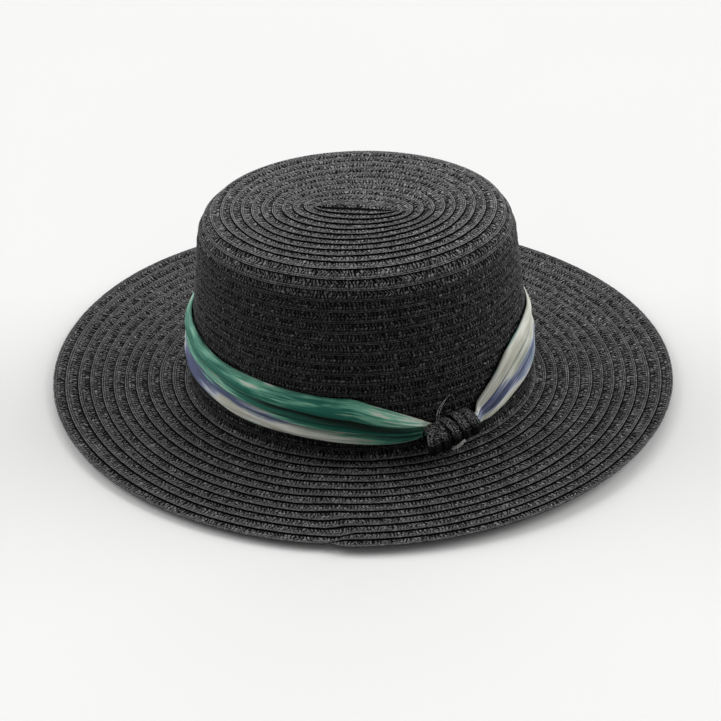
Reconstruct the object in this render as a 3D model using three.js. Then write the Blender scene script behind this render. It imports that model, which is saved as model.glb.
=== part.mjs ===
// A wide-brim straw hat: a flat-topped oval crown, a braided brim, a gathered cloth band round the
// crown and the wrapped straw knot that closes the band.
// Millimetres, +Z up. The hat rests on z = 0, its middle is on the Z axis and the long axis of the
// head oval is X.
import * as THREE from 'three';

// ---- Head oval ----
// Every ring of the hat is an oval this much longer, and as much narrower, than its mean radius.
const OVAL_SPREAD = 8.3;
// Inside this mean radius the rings close down to the start of the braid.
const SEAM_RADIUS = 11.3;

// ---- Braided straw ----
const STRAW_WALL = 1.3;
const ROW_LOW = 0.1;
const ROW_HIGH = 0.9;
const ROW_STEP = 0.35;
const FIRST_TURN = 14.2;
const TIP_ROW = 5.9;
const TIP_ROWS = 11;
const SIDE_ROW = 6.5;
const BRIM_ROW = 6.66;
const SEW_GAP = 0.3;

// ---- Crown, as mean radii and heights ----
const TIP_HEIGHT = 115.5;
const TIP_DISH = 1.7;
const TIP_RIM_RADIUS = 52;
const TIP_FLAT_RADIUS = 68.5;
const SHOULDER_CORNER = 77.8;
const SHOULDER_RADIUS = 81.7;
const SHOULDER_DROP = 13.9;
const FLARE_RADIUS = 92.1;
const FLARE_HEIGHT = 9;
const FLARE_CORNER = 92.9;
// The crown sits a little crooked on the brim: its top stands towards -X and rises towards +X.
const CROWN_LEAN = -2.5;
const CROWN_TILT = 1.2;

// ---- Brim ----
const BRIM_RADIUS = 175.6;
const BRIM_ROWS = 12;
const BRIM_WALL = 1.2;
const BRIM_CREST = 2.2;
const REST_RADIUS = 98;
const BRIM_RISE = 3.9;
const BRIM_WARP = 1.7;
const WARP_ANGLE = 146;
// The crown's lowest row laps over a ledge at the brim's inner edge and is sewn down to it.
const LEDGE_WALL = 1;
const SKIRT_RADIUS = BRIM_RADIUS - BRIM_ROWS * BRIM_ROW;
const SKIRT_HEIGHT = 1.5;
const CROWN_BASE = LEDGE_WALL + SEW_GAP;
const OPENING_RADIUS = FLARE_RADIUS - STRAW_WALL;

// ---- Knot: a barrel of wound straw on the front right of the crown ----
const KNOT_ANGLE = -60;
const KNOT_HEIGHT = 19.7;
const KNOT_LENGTH = 27;
const KNOT_TURNS = 5;
const KNOT_RADIUS_LEFT = 8.3;
const KNOT_RADIUS_RIGHT = 7.2;
const KNOT_GROOVE = 0.9;
const KNOT_HOLE = 4.5;
const KNOT_STANDOFF = 9.6;

// ---- Cloth band ----
const CLOTH_WALL = 1.8;
const CLOTH_GAP = 0.8;
const NECK_RADIUS = 4.1;
const NECK_SPREAD = 8;
const FLARE_SPREAD = 13.5;
const FOLD_DEPTH = 0.7;
const FOLD_COUNT = 3;
const FOLD_DRIFT = 1.5;
// A row for each station round the crown, from the knot back to the knot: the turn from the knot in
// degrees, the height of the lower and the upper edge, and how far the folds belly out.
const BAND_STATIONS = [
  { turn: 0, low: 15, high: 24, belly: 2 },
  { turn: 9, low: 15, high: 25.5, belly: 2 },
  { turn: 17, low: 17.5, high: 38, belly: 3 },
  { turn: 26, low: 20, high: 50, belly: 3 },
  { turn: 41, low: 24, high: 57, belly: 3 },
  { turn: 61, low: 27, high: 55.5, belly: 2.5 },
  { turn: 96, low: 28.5, high: 54, belly: 1.5 },
  { turn: 150, low: 28, high: 52, belly: 1.5 },
  { turn: 205, low: 26, high: 51, belly: 2 },
  { turn: 241, low: 23.5, high: 50, belly: 3 },
  { turn: 257, low: 21.5, high: 50, belly: 3 },
  { turn: 278, low: 19.4, high: 46, belly: 3 },
  { turn: 292, low: 16.8, high: 45, belly: 3 },
  { turn: 307, low: 15.7, high: 43, belly: 3 },
  { turn: 321, low: 14.3, high: 41.3, belly: 3 },
  { turn: 328, low: 13.5, high: 41, belly: 3 },
  { turn: 334, low: 12.8, high: 38, belly: 3 },
  { turn: 340, low: 12.7, high: 34.5, belly: 2.5 },
  { turn: 346, low: 13.2, high: 29.5, belly: 2 },
  { turn: 351, low: 14, high: 24, belly: 2 },
  { turn: 360, low: 15, high: 24, belly: 2 },
];

// ---- Facets ----
const CROWN_SIDES = 44;
const BRIM_SIDES = 48;
const BAND_SIDES = 52;
const BAND_STEPS = 11;
const KNOT_SIDES = 14;
// Less than 1 draws the band's sections together near the knot, where its shape changes fast.
const BAND_CROWDING = 0.62;

const STRAW = { color: 0x1b1b1d, roughness: 0.55, metalness: 0 };
const CLOTH = { color: 0x4a8f7c, roughness: 0.7, metalness: 0 };

const radians = THREE.MathUtils.degToRad;

// ---- Oval geometry shared by the parts ----

// A point on the oval ring of a mean radius, at an angle in radians from +X.
function ovalPoint(radius, angle, height) {
  const spread = OVAL_SPREAD * Math.min(1, radius / SEAM_RADIUS);
  const x = (radius + spread) * Math.cos(angle);
  const y = (radius - spread) * Math.sin(angle);
  return new THREE.Vector3(x, y, height);
}

// A closed profile of mean radius and height is turned into rings, and place moves each vertex.
function turnProfile(profile, sides, place) {
  const geometry = new THREE.LatheGeometry(profile, sides);
  const position = geometry.attributes.position;
  for (let index = 0; index < position.count; index += 1) {
    const side = Math.floor(index / profile.length);
    const step = index % profile.length;
    const point = place(side / sides, step);
    position.setXYZ(index, point.x, point.y, point.z);
  }
  return geometry;
}

// ---- Crown ----

// The crown's outer surface from the middle of the tip, over the shoulder and down to the base.
function crownPath() {
  const path = new THREE.Path();
  path.moveTo(0, TIP_HEIGHT - TIP_DISH);
  path.quadraticCurveTo(TIP_RIM_RADIUS / 2, TIP_HEIGHT - TIP_DISH, TIP_RIM_RADIUS, TIP_HEIGHT);
  path.lineTo(TIP_FLAT_RADIUS, TIP_HEIGHT);
  path.quadraticCurveTo(SHOULDER_CORNER, TIP_HEIGHT, SHOULDER_RADIUS, TIP_HEIGHT - SHOULDER_DROP);
  path.lineTo(FLARE_RADIUS, FLARE_HEIGHT);
  path.quadraticCurveTo(FLARE_CORNER, SKIRT_HEIGHT, SKIRT_RADIUS, SKIRT_HEIGHT);
  return path;
}

function wallRadius(height) {
  const share = (height - FLARE_HEIGHT) / (TIP_HEIGHT - SHOULDER_DROP - FLARE_HEIGHT);
  return THREE.MathUtils.lerp(FLARE_RADIUS, SHOULDER_RADIUS, share);
}

// The crown's crooked seat, for the crown and for what lies round it.
function seat(point) {
  const share = point.z / TIP_HEIGHT;
  const rise = Math.tan(radians(CROWN_TILT)) * point.x * share ** 2;
  return new THREE.Vector3(point.x + CROWN_LEAN * share, point.y, point.z + rise);
}

// A point at a distance along the path, lifted square to it, and never below the crown's base.
function liftedPoint(path, distance, lift) {
  const share = distance / path.getLength();
  const point = path.getPoint(share);
  const tangent = path.getTangent(share);
  const radius = Math.max(0, point.x - tangent.y * lift);
  const height = Math.max(CROWN_BASE, point.y + tangent.x * lift);
  return new THREE.Vector2(radius, height);
}

// Distances along the path at which one turn of the braid ends and the next begins.
function crownRowEdges(path) {
  const edges = [0];
  for (let row = 0; row <= TIP_ROWS; row += 1) {
    edges.push(FIRST_TURN + row * TIP_ROW);
  }
  const length = path.getLength();
  let edge = edges[edges.length - 1] + SIDE_ROW;
  while (edge < length - SIDE_ROW / 2) {
    edges.push(edge);
    edge += SIDE_ROW;
  }
  edges.push(length);
  return edges;
}

function crownProfile() {
  const path = crownPath();
  const edges = crownRowEdges(path);
  const profile = [new THREE.Vector2(0, TIP_HEIGHT + ROW_LOW)];
  for (let row = 1; row < edges.length; row += 1) {
    profile.push(liftedPoint(path, edges[row], ROW_HIGH));
    if (row < edges.length - 1) {
      profile.push(liftedPoint(path, edges[row] + ROW_STEP, ROW_LOW));
    }
  }
  // The inside is smooth: a few points over the skirt, the wall, the shoulder and the tip.
  const [dish, flat, shoulder, wall, skirt] = path.getCurveLengths();
  for (const [start, end, share] of [
    [wall, skirt, 1],
    [wall, skirt, 0.7],
    [wall, skirt, 0.4],
    [wall, skirt, 0],
    [flat, shoulder, 1],
    [flat, shoulder, 0.7],
    [flat, shoulder, 0.4],
    [dish, flat, 1],
    [dish, flat, 0],
    [0, dish, 0],
  ]) {
    const distance = THREE.MathUtils.lerp(start, end, share);
    profile.push(liftedPoint(path, distance, -STRAW_WALL));
  }
  return profile;
}

function crownGeometry() {
  const profile = crownProfile().reverse();
  return turnProfile(profile, CROWN_SIDES, (share, step) => {
    const point = profile[step];
    return seat(ovalPoint(point.x, share * 2 * Math.PI, point.y));
  });
}

// ---- Brim ----

// How far out on the brim a ring lies: 0 on the flat ring that rests, 1 at the edge.
function brimReach(radius) {
  return Math.max(0, (radius - REST_RADIUS) / (BRIM_RADIUS - REST_RADIUS));
}

function brimUnderside(radius) {
  return BRIM_RISE * brimReach(radius) ** 2;
}

function brimProfile() {
  const profile = [new THREE.Vector2(OPENING_RADIUS, 0)];
  for (const reach of [0, 0.25, 0.5, 0.75, 1]) {
    const radius = THREE.MathUtils.lerp(REST_RADIUS, BRIM_RADIUS, reach);
    profile.push(new THREE.Vector2(radius, brimUnderside(radius)));
  }
  for (let row = 0; row < BRIM_ROWS; row += 1) {
    const outer = BRIM_RADIUS - row * BRIM_ROW;
    const inner = outer - BRIM_ROW;
    profile.push(new THREE.Vector2(outer, brimUnderside(outer) + BRIM_CREST));
    profile.push(new THREE.Vector2(inner + ROW_STEP, brimUnderside(inner) + BRIM_WALL));
  }
  profile.push(new THREE.Vector2(SKIRT_RADIUS + ROW_STEP, LEDGE_WALL));
  profile.push(new THREE.Vector2(OPENING_RADIUS, LEDGE_WALL));
  profile.push(profile[0].clone());
  return profile;
}

function brimGeometry() {
  const profile = brimProfile();
  return turnProfile(profile, BRIM_SIDES, (share, step) => {
    const angle = share * 2 * Math.PI;
    const reach = brimReach(profile[step].x);
    const warp = BRIM_WARP * reach ** 2 * Math.cos(2 * (angle - radians(WARP_ANGLE)));
    return ovalPoint(profile[step].x, angle, profile[step].y + warp);
  });
}

// ---- Knot ----

// The knot's middle, its axis along the crown's wall and the direction away from the wall.
function knotFrame() {
  const angle = radians(KNOT_ANGLE);
  const radius = wallRadius(KNOT_HEIGHT) + KNOT_STANDOFF;
  const centre = seat(ovalPoint(radius, angle, KNOT_HEIGHT));
  const axis = new THREE.Vector3(
    -(radius + OVAL_SPREAD) * Math.sin(angle),
    (radius - OVAL_SPREAD) * Math.cos(angle),
    0,
  );
  const reach = axis.length();
  axis.normalize();
  const outward = new THREE.Vector3(axis.y, -axis.x, 0);
  return { centre, axis, outward, reach };
}

function knotGeometry() {
  const start = -KNOT_LENGTH / 2;
  const pitch = KNOT_LENGTH / KNOT_TURNS;
  const profile = [new THREE.Vector2(KNOT_HOLE, start)];
  const radiusAt = (along) => THREE.MathUtils.mapLinear(
    along,
    start,
    -start,
    KNOT_RADIUS_LEFT,
    KNOT_RADIUS_RIGHT,
  );
  for (let turn = 0; turn < KNOT_TURNS; turn += 1) {
    const along = start + turn * pitch;
    profile.push(new THREE.Vector2(radiusAt(along) - KNOT_GROOVE, along));
    profile.push(new THREE.Vector2(radiusAt(along), along + pitch * 0.22));
    profile.push(new THREE.Vector2(radiusAt(along), along + pitch * 0.78));
  }
  profile.push(new THREE.Vector2(KNOT_RADIUS_RIGHT - KNOT_GROOVE, -start));
  profile.push(new THREE.Vector2(KNOT_HOLE, -start));
  profile.push(profile[0].clone());
  return new THREE.LatheGeometry(profile, KNOT_SIDES);
}

// ---- Cloth band ----

const stationTable = new THREE.CubicInterpolant(
  BAND_STATIONS.map((station) => station.turn),
  BAND_STATIONS.flatMap((station) => [station.low, station.high, station.belly]),
  3,
  new Float64Array(3),
);

// How much the cloth is drawn into a bundle: 1 in the knot, 0 once it has fanned out.
function bunching(turn) {
  const away = Math.min(turn, 360 - turn);
  return 1 - THREE.MathUtils.smoothstep(away, NECK_SPREAD, FLARE_SPREAD);
}

// The cloth where it lies round the crown. Share runs from its lower to its upper edge.
function drapedPoint(turn, share, inside) {
  const [low, high, belly] = stationTable.evaluate(turn);
  const height = THREE.MathUtils.lerp(low, high, share);
  const folds = FOLD_DEPTH * Math.cos(2 * Math.PI * (FOLD_COUNT * share + FOLD_DRIFT * turn / 360));
  const swell = belly * Math.sin(Math.PI * (0.25 + 0.7 * share)) + folds;
  const wall = inside ? 0 : CLOTH_WALL;
  const lift = ROW_HIGH + CLOTH_GAP + Math.max(0, swell) + wall;
  return seat(ovalPoint(wallRadius(height) + lift, radians(KNOT_ANGLE + turn), height));
}

// The cloth as a bundle through the knot.
function bundledPoint(turn, share, inside, knot) {
  const away = turn > 180 ? turn - 360 : turn;
  const around = Math.PI * (inside ? 1.5 - share : share - 0.5);
  const out = NECK_RADIUS * Math.cos(around);
  const up = NECK_RADIUS * Math.sin(around);
  const point = knot.centre.clone();
  point.addScaledVector(knot.axis, knot.reach * radians(away));
  point.addScaledVector(knot.outward, out);
  point.z += up;
  return point;
}

function bandGeometry() {
  const knot = knotFrame();
  // The outer face from its lower edge up, then the inner face back down, closed on itself.
  const section = [];
  for (let step = 0; step < BAND_STEPS; step += 1) {
    section.push({ share: step / (BAND_STEPS - 1), inside: false });
  }
  for (let step = BAND_STEPS - 1; step >= 0; step -= 1) {
    section.push({ share: (step + 0.5) / BAND_STEPS, inside: true });
  }
  section.push(section[0]);
  const profile = section.map((point) => {
    const radius = FLARE_RADIUS + (point.inside ? 0 : CLOTH_WALL);
    return new THREE.Vector2(radius, point.share);
  });
  return turnProfile(profile, BAND_SIDES, (along, step) => {
    const crowd = BAND_CROWDING * Math.sin(2 * Math.PI * along) / (2 * Math.PI);
    const turn = 360 * (along - crowd);
    const { share, inside } = section[step];
    const draped = drapedPoint(turn, share, inside);
    return draped.lerp(bundledPoint(turn, share, inside, knot), bunching(turn));
  });
}

// ---- Assembly ----

function piece(name, geometry, finish) {
  const mesh = new THREE.Mesh(geometry, new THREE.MeshStandardMaterial(finish));
  mesh.name = name;
  return mesh;
}

const hat = new THREE.Group();
hat.add(piece('crown', crownGeometry(), STRAW));
hat.add(piece('brim', brimGeometry(), STRAW));
hat.add(piece('band', bandGeometry(), CLOTH));

const knotMesh = piece('knot', knotGeometry(), STRAW);
const knotPlace = knotFrame();
knotMesh.position.copy(knotPlace.centre);
knotMesh.quaternion.setFromUnitVectors(new THREE.Vector3(0, 1, 0), knotPlace.axis);
hat.add(knotMesh);

export default hat;
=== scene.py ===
"""Dresses a wide-brim straw sun hat: sewn paper braid, a gathered cloth band and a wound straw knot."""

import math

import bmesh
import bpy
import numpy as np
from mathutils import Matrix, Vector


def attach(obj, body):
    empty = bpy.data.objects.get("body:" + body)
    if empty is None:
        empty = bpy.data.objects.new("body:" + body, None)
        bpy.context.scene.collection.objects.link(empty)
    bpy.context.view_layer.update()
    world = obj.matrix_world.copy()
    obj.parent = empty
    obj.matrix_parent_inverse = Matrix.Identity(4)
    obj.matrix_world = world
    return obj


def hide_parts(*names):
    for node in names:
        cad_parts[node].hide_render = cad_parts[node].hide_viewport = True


bl_info = {
    "name": "Wide-Brim Straw Sun Hat",
    "version": (1, 0, 0),
    "blender": (4, 5, 0),
    "location": "3D View > Sidebar > Sun Hat",
    "description": "Braided straw crown and brim, gathered tie-dye band, wound straw knot and a plain studio",
    "category": "Add Mesh",
}

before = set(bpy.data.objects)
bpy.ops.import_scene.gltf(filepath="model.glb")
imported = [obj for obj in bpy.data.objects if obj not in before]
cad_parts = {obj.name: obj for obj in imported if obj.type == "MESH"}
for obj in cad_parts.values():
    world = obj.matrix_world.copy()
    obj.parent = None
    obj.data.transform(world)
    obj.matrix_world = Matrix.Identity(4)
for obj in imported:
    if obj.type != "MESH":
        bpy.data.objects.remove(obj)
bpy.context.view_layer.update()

# ---- Sizes of the solids, in millimetres ----
MM = 0.001
OVAL_SPREAD = 8.3
TIP_HEIGHT = 115.5
TIP_DISH = 1.7
TIP_RIM_RADIUS = 52
TIP_FLAT_RADIUS = 68.5
SHOULDER_CORNER = 77.8
SHOULDER_RADIUS = 81.7
SHOULDER_DROP = 13.9
FLARE_RADIUS = 92.1
FLARE_HEIGHT = 9
FLARE_CORNER = 92.9
SKIRT_RADIUS = 95.68
CROWN_LEAN = -2.5
CROWN_TILT = math.radians(1.2)
BRIM_RADIUS = 175.6
BRIM_ROW = 6.66
BRIM_BASE = 1.1
REST_RADIUS = 98
BRIM_RISE = 3.9
BRIM_WARP = 1.7
WARP_ANGLE = math.radians(146)
KNOT_ANGLE = math.radians(-60)
KNOT_HEIGHT = 19.7
KNOT_LENGTH = 27
KNOT_STANDOFF = 9.6
KNOT_RADIUS_LEFT = 8.3
KNOT_RADIUS_RIGHT = 7.2
WOUND_RADIUS = 8.2
WOUND_WIDTH = 6.4

# ---- The braid's course: it starts at a slit in the tip and runs clockwise to the brim's edge ----
SLIT_RADIUS = 10.25
FIRST_TURN = 14.2
TIP_ROW = 5.9
TIP_TURNS = 11
SIDE_ROW = 6.5
SIDE_TURNS = 10
BASE_TURN = 29
LAST_TURN = 40
# Turns are counted from the first row's front, so whole turns are at the front middle.
START_TURN = -0.75
# The maker moves each brim row out by part of a row at one place just left of the front.
STEP_TURN = 0.0167
LAST_STEP = 0.005
END_TURN = LAST_TURN + LAST_STEP + 0.018
# Where one length of the braid ends and the next begins.
TIP_END = 11.0
SIDE_END = 19.5
CROWN_END = 28.0
INNER_END = 34.6

# Across the braid from its outer edge: the distance in, how far the strokes lean along the braid,
# how strongly they stand out and how far the surface dips or rises.
BRAID_TOP = [
    (0.12, 0.0, 0.1, -0.06),
    (0.4, 0.0, 0.2, 0.12),
    (0.95, 0.05, 0.2, -0.1),
    (1.55, 0.1, 0.2, 0.1),
    (2.1, 0.25, 0.3, -0.08),
    (2.8, 0.2, 1.0, 0.08),
    (3.6, -0.1, 1.0, 0.06),
    (4.1, -0.25, 0.3, -0.1),
    (4.7, -0.1, -1.0, 0.04),
    (5.6, 0.25, -1.0, 0.02),
    (6.5, 0.3, -0.2, -0.12),
    (8.15, 0.0, 0.2, -0.1),
]
# At each distance in from the edge: how much straw lies open rather than under painted shade, how much of it
# runs on along the braid as a firm cord, and how wide the pockets of painted shade between the strokes are.
OPEN_STRAW_AND_SHADE = [
    (0.1, 0.6, 0.85, 0.1),
    (0.35, 0.95, 1.0, 0.1),
    (0.75, 0.75, 0.9, 0.1),
    (0.95, 0.12, 0.0, 0.3),
    (1.2, 0.6, 0.2, 0.2),
    (1.5, 0.85, 0.8, 0.2),
    (1.8, 0.8, 0.7, 0.2),
    (2.1, 0.25, 0.0, 0.3),
    (2.6, 0.9, 0.0, 0.35),
    (3.6, 1.0, 0.0, 0.5),
    (4.1, 0.65, 0.0, 0.75),
    (4.6, 0.92, 0.0, 0.65),
    (5.7, 0.9, 0.0, 0.7),
    (6.15, 0.8, 0.0, 0.7),
    (6.45, 0.15, 0.0, 0.6),
    (6.9, 0.02, 0.0, 0.6),
]
BRAID_WIDTH = 8.15
BRAID_WALL = 0.7
BRAID_LAP = 1.5
# A row's outer edge rides on the next row, and its inner edge slips under the one before.
ROW_HIGH = 0.9
ROW_LOW = -0.05
# Two columns of strokes meet in the braid's middle.
COLUMN_WIDTH = 2.0
COLUMN_INSET = 2.1

# ---- The knot ----
# Across its braid and back underneath: the share of the width, the face it is on, how far the sewn
# surface rises there and how strongly the strokes stand out.
KNOT_SECTION = [
    (0, 0, 0, 0),
    (0.02, 1, 0.1, 0),
    (0.08, 1, 0.3, 0.3),
    (0.16, 1, 0.1, 0.3),
    (0.22, 1, -0.12, 0.3),
    (0.32, 1, 0.05, 1),
    (0.42, 1, 0.08, 1),
    (0.5, 1, -0.05, 0.4),
    (0.58, 1, 0.08, 1),
    (0.68, 1, 0.05, 1),
    (0.78, 1, -0.1, 0.3),
    (0.84, 1, 0.0, 0.3),
    (0.92, 1, 0.1, 0.3),
    (0.98, 1, 0.05, 0),
    (1, 0, 0, 0),
    (0.9, -1, 0, 0),
    (0.5, -1, 0, 0),
    (0.1, -1, 0, 0),
    (0, 0, 0, 0),
]
# A cut end and two stray fibres: how many strands wide, and places along the knot, out from it and up.
LOOSE_STRANDS = [
    ("cut_end", 2.7, [(-8.2, 6.8, -9.2), (-6.4, 8.4, -7.4), (-4.3, 9.9, -5.0), (-2.2, 10.8, -2.2)]),
    ("stray_fibre", 0.26, [(-14.5, 0, 8), (-12.5, -2.5, 12), (-8.5, -4, 16), (-3.5, -5, 19.5)]),
    ("short_fibre", 0.26, [(-13, 0, 8), (-11, -2.5, 12), (-8.5, -4, 14.5), (-6, -5, 17)]),
]

# ---- The cloth band, as turns in degrees from the knot ----
BAND_STATIONS = 601
FOLDS = 4
FOLD_STEPS = 12
# How much cloth each fold takes, for the scale of its weave and dyes.
FOLD_CLOTH = 17
# The turn, the heights of its lower and upper edge and how far it bellies out.
BAND_COURSE = [
    (0, 15, 23, 1),
    (6, 14.8, 22, 3.0),
    (9, 14.2, 24.9, 4.2),
    (12, 14, 28.8, 4.2),
    (18, 15.6, 36, 3.4),
    (26, 18.6, 46, 2.4),
    (41, 22.4, 53.2, 1.2),
    (61, 26, 52.6, 0.4),
    (96, 28, 52, 0.4),
    (150, 28, 51.5, 1),
    (205, 26, 50.5, 1),
    (241, 23.5, 49, 0.6),
    (257, 21.5, 49, 0.9),
    (278, 19.4, 45.5, 2),
    (292, 16.8, 44.5, 2.4),
    (307, 15.7, 42.5, 2.6),
    (321, 14.3, 41, 2.8),
    (328, 13.5, 40.4, 2.8),
    (333, 12.8, 37, 2.6),
    (340, 12.4, 32, 2.4),
    (345, 12.8, 28, 2.2),
    (349.5, 14.2, 24, 1.6),
    (360, 15, 23, 1),
]
# The turn, then the share of the band's height at which each fold gives way to the next.
FOLD_LINES = [
    (0, 0.30, 0.52, 0.74),
    (9, 0.26, 0.50, 0.74),
    (26, 0.22, 0.44, 0.68),
    (41, 0.22, 0.41, 0.64),
    (61, 0.24, 0.44, 0.66),
    (96, 0.27, 0.52, 0.74),
    (150, 0.24, 0.47, 0.76),
    (205, 0.28, 0.50, 0.70),
    (241, 0.25, 0.42, 0.60),
    (257, 0.27, 0.44, 0.60),
    (278, 0.30, 0.47, 0.62),
    (300, 0.29, 0.45, 0.60),
    (321, 0.25, 0.42, 0.56),
    (334, 0.24, 0.41, 0.54),
    (346, 0.26, 0.44, 0.56),
    (360, 0.30, 0.52, 0.74),
]
# The turn, then how far each fold stands out, from the lowest to the uppermost.
FOLD_SWELL = [
    (0, 0.7, 0.7, 0.7, 0.7),
    (8, 1.6, 1.3, 1.4, 1.8),
    (18, 2.3, 1.9, 2.2, 2.4),
    (41, 2.4, 1.8, 2.2, 2.2),
    (61, 1.6, 1.8, 1.4, 1.5),
    (96, 1.6, 2.4, 1.7, 1.9),
    (160, 2.8, 2.0, 2.9, 2.2),
    (205, 2.3, 2.8, 2.0, 2.8),
    (257, 2.6, 2.0, 2.3, 3.0),
    (300, 3.0, 1.8, 2.4, 3.1),
    (325, 2.8, 2.0, 2.2, 3.4),
    (340, 2.4, 1.5, 1.7, 3.2),
    (346, 1.9, 1.2, 1.4, 2.6),
    (351, 1.2, 0.9, 0.9, 1.5),
    (360, 0.7, 0.7, 0.7, 0.7),
]
# Where the dyes were dropped: the turn, the place across the folds, their reach and strength.
# Below nought, the dye was rinsed out again.
TEAL_SPOTS = [
    (238, 3.2, 16, 1.3, 0.95),
    (264, 3.4, 20, 0.95, 1.0),
    (290, 3.3, 18, 1.0, 0.85),
    (319, 3.1, 18, 1.0, 1.5),
    (300, 2.3, 14, 0.5, 0.45),
    (322, 1.8, 16, 0.6, 1.05),
    (338, 2.0, 10, 0.8, 1.1),
    (343, 1.0, 9, 0.6, 0.85),
    (336, 3.4, 11, 1.0, 0.12),
    (350, 3.1, 8, 1.0, 0.47),
    (338, 0.5, 12, 0.7, 0.38),
    (205, 2.7, 22, 0.7, 0.8),
    (150, 1.2, 26, 0.6, 0.9),
    (110, 3.4, 22, 0.5, 0.5),
    (305, 3.95, 10, 0.35, -0.25),
]
INDIGO_SPOTS = [
    (259, 1.0, 13, 1.4, 1.6),
    (276, 1.6, 15, 0.6, 1.3),
    (300, 1.35, 17, 0.4, 1.15),
    (12, 2.4, 8, 0.8, 1.35),
    (20, 1.9, 6, 0.6, 1.15),
    (31, 1.35, 12, 0.55, 1.2),
    (45, 1.15, 12, 0.55, 1.15),
    (59, 1.4, 9, 0.6, 0.5),
    (120, 2.1, 20, 0.5, 0.8),
    (184, 3.3, 20, 0.5, 0.9),
    (222, 0.6, 18, 0.5, 0.5),
]
# Where painted shade darkens a deep crease, in which the cloth lies double; more dye settles there too.
CREASE_SHADE_SPOTS = [
    (338, 2.35, 13, 0.45, 1.0),
    (324, 3.0, 15, 0.5, 0.35),
    (318, 2.7, 15, 0.5, 0.55),
    (328, 0.5, 19, 0.9, 0.5),
    (300, 2.9, 7, 0.12, 0.6),
    (288, 2.05, 12, 0.14, 0.9),
    (300, 1.05, 16, 0.1, 0.7),
    (346, 1.1, 6, 0.2, 0.9),
    (14, 1.7, 7, 0.12, 0.8),
    (36, 2.6, 16, 0.16, 0.8),
    (34, 3.0, 20, 0.13, 0.85),
    (30, 2.0, 20, 0.12, 0.8),
    (170, 1.9, 16, 0.15, 0.8),
    (110, 2.8, 16, 0.15, 0.8),
]


# ---- The camera and the lights ----
CAMERA_HEIGHT = math.radians(33.65)
CAMERA_ROLL = math.radians(0.68)
CAMERA_DISTANCE = 1.2939
CAMERA_AIM = Vector((0, 0, 0.0364))
SENSOR_WIDTH = 36
FOCAL_LENGTH = 110.27
LENS_SHIFT = (-0.0014, -0.052)
# Where each light comes from, in degrees round from behind and up, how broad it is, and its share
# of the key light's strength.
LIGHTS = [
    ("window_right", 73, 32, 45, 0.93),
    ("window_left", -71, 32, 45, 0.86),
    ("window_behind", 3, 42, 50, 0.52),
    ("fill_in_front", 190, 45, 70, 0.05),
]


# ---- Curves and surfaces ----


def ease(low, high, value):
    share = np.clip((value - low) / (high - low), 0, 1)
    return share * share * (3 - 2 * share)


def course(table, turn):
    """The table's columns at each turn, on smooth curves through its rows."""
    table = np.array(table, float)
    places, values = table[:, 0], table[:, 1:]
    slopes = np.gradient(values, places, axis=0)
    row = np.clip(np.searchsorted(places, turn, side="right") - 1, 0, len(places) - 2)
    span = places[row + 1] - places[row]
    share = (turn - places[row]) / span
    share, span = share[..., None], span[..., None]
    keep = (1 + 2 * share) * (1 - share) ** 2
    leave = share * (1 - share) ** 2 * span
    arrive = share**2 * (share - 1) * span
    found = keep * values[row] + leave * slopes[row]
    found = found + (1 - keep) * values[row + 1] + arrive * slopes[row + 1]
    return np.moveaxis(found, -1, 0)


def bend(start, corner, end, count=60):
    share = np.linspace(0, 1, count)[:, None]
    start, corner, end = (np.array(p, float) for p in (start, corner, end))
    return (1 - share) ** 2 * start + 2 * share * (1 - share) * corner + share**2 * end


def brim_reach(radius):
    return np.maximum(0, (radius - REST_RADIUS) / (BRIM_RADIUS - REST_RADIUS))


def hat_outline():
    """From the tip's middle to the brim's edge: distance along, radius, height and the way out."""
    rim = (TIP_RIM_RADIUS, TIP_HEIGHT)
    shoulder = (SHOULDER_RADIUS, TIP_HEIGHT - SHOULDER_DROP)
    flare = (FLARE_RADIUS, FLARE_HEIGHT)
    foot = (SKIRT_RADIUS, BRIM_BASE)
    radius = np.linspace(SKIRT_RADIUS, BRIM_RADIUS + 4, 120)
    points = np.vstack(
        [
            bend((0, TIP_HEIGHT - TIP_DISH), (TIP_RIM_RADIUS / 2, TIP_HEIGHT - TIP_DISH), rim),
            bend((TIP_FLAT_RADIUS, TIP_HEIGHT), (SHOULDER_CORNER, TIP_HEIGHT), shoulder),
            bend(flare, (FLARE_CORNER, BRIM_BASE), foot),
            np.stack([radius, BRIM_BASE + BRIM_RISE * brim_reach(radius) ** 2], axis=1)[1:],
        ]
    )
    steps = np.linalg.norm(np.diff(points, axis=0), axis=1)
    distance = np.concatenate([[0], np.cumsum(steps)])
    along = np.gradient(points, distance, axis=0)
    along /= np.linalg.norm(along, axis=1)[:, None]
    return distance, points[:, 0], points[:, 1], -along[:, 1], along[:, 0]


OUTLINE = hat_outline()
BRIM_START = float(np.interp(SKIRT_RADIUS, OUTLINE[1], OUTLINE[0]))
BRIM_END = float(np.interp(BRIM_RADIUS, OUTLINE[1], OUTLINE[0]))


def oval(radius, angle, height):
    """A place on the head oval's ring of a mean radius. The innermost rings close on the slit."""
    spread = OVAL_SPREAD + 0.49 * np.maximum(0, FIRST_TURN - radius)
    wide, deep = (radius + spread) * np.cos(angle), (radius - spread) * np.sin(angle)
    # The first rings were laid a little askew.
    askew = -0.15 * (1 - ease(FIRST_TURN, 44, radius))
    places = [
        wide * np.cos(askew) - deep * np.sin(askew),
        wide * np.sin(askew) + deep * np.cos(askew),
        height,
    ]
    return np.stack(np.broadcast_arrays(*places), axis=-1)


def seat(points):
    """The crown sits a little crooked on the brim."""
    share = points[..., 2] / TIP_HEIGHT
    rise = math.tan(CROWN_TILT) * points[..., 0] * share**2
    return points + np.stack([CROWN_LEAN * share, 0 * share, rise], axis=-1)


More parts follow.
